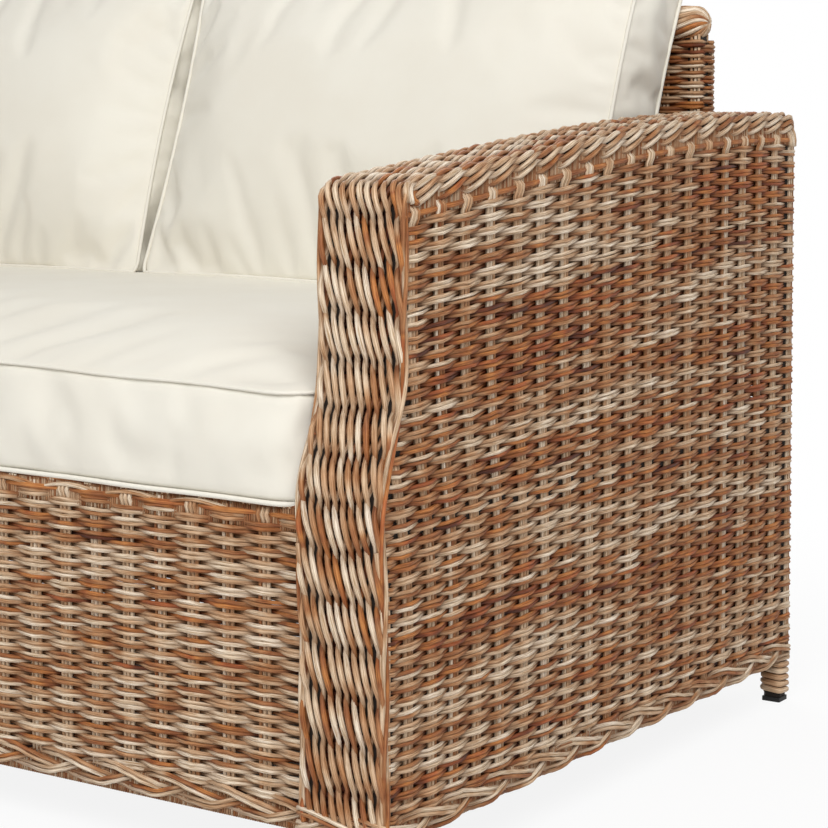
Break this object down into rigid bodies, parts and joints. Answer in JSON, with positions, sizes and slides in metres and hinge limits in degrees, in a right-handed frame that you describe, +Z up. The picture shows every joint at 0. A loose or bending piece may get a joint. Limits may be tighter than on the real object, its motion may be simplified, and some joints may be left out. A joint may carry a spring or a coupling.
{
  "type": "rattan garden sofa",
  "caption": "Two-seat garden sofa with arched, S-fronted arms: woven rattan over a welded tube frame, a piped bench seat cushion and loose back cushions.",
  "frame": {"origin": "on the ground, under the middle of the sofa's box", "axes": "+X along the seat, to the right as seen from the front, +Y to the back, +Z up"},
  "size_m": [1.566, 0.849, 0.8929],
  "materials": {
    "tube": "brown powder coat",
    "rattan": "satin woven strands in mixed browns",
    "pale_rattan": "satin woven strands, paler",
    "foot": "moulded, fine grain",
    "canvas": "plain-woven outdoor canvas"
  },
  "bodies": {
    "frame": {"arm_outer_frame_left": "tube", "arm_inner_frame_left": "tube", "arm_front_band_left": "pale_rattan", "arm_top_band_left": "pale_rattan", "arm_rear_weave_left": "rattan", "arm_outer_weave_left": "rattan", "arm_side_strand_left": "pale_rattan", "arm_inner_weave_left": "rattan", "arm_front_braid_left": "pale_rattan", "arm_rear_braid_left": "pale_rattan", "arm_side_braid_left": "pale_rattan", "arm_outer_frame_right": "tube", "arm_inner_frame_right": "tube", "arm_front_band_right": "pale_rattan", "arm_top_band_right": "pale_rattan", "arm_rear_weave_right": "rattan", "arm_outer_weave_right": "rattan", "arm_side_strand_right": "pale_rattan", "arm_inner_weave_right": "rattan", "arm_front_braid_right": "pale_rattan", "arm_rear_braid_right": "pale_rattan", "arm_side_braid_right": "pale_rattan", "seat_front_rail": "tube", "seat_rear_rail": "tube", "apron_lower_rail": "tube", "back_lower_rail": "tube", "seat_cross_bar_1": "tube", "seat_cross_bar_2": "tube", "seat_cross_bar_3": "tube", "seat_cross_bar_4": "tube", "seat_cross_bar_5": "tube", "apron_weave": "rattan", "apron_strand": "pale_rattan", "apron_braid": "pale_rattan", "seat_deck": "rattan", "back_hoop": "tube", "back_mid_rail": "tube", "back_top_roll": "pale_rattan", "back_front_weave": "rattan", "back_rear_weave": "rattan", "back_braid": "pale_rattan", "back_end_weave_left": "rattan", "back_end_weave_right": "rattan", "leg_wrap_front_left": "pale_rattan", "foot_cap_front_left": "foot", "leg_wrap_front_right": "pale_rattan", "foot_cap_front_right": "foot", "leg_wrap_rear_left": "pale_rattan", "foot_cap_rear_left": "foot", "leg_wrap_rear_right": "pale_rattan", "foot_cap_rear_right": "foot"},
    "seat_cushion": {"seat_cushion": "canvas"},
    "back_cushion_left": {"back_cushion_left": "canvas"},
    "back_cushion_right": {"back_cushion_right": "canvas"}
  },
  "joints": [
    {"name": "seat_cushion_lift", "type": "slide", "parent": "frame", "child": "seat_cushion", "axis": [0, 0, 1], "range_m": [0, 0.45]},
    {"name": "back_cushion_left_lift", "type": "slide", "parent": "seat_cushion", "child": "back_cushion_left", "axis": [0, 0, 1], "range_m": [0, 0.4]},
    {"name": "back_cushion_right_lift", "type": "slide", "parent": "seat_cushion", "child": "back_cushion_right", "axis": [0, 0, 1], "range_m": [0, 0.4]}
  ]
}
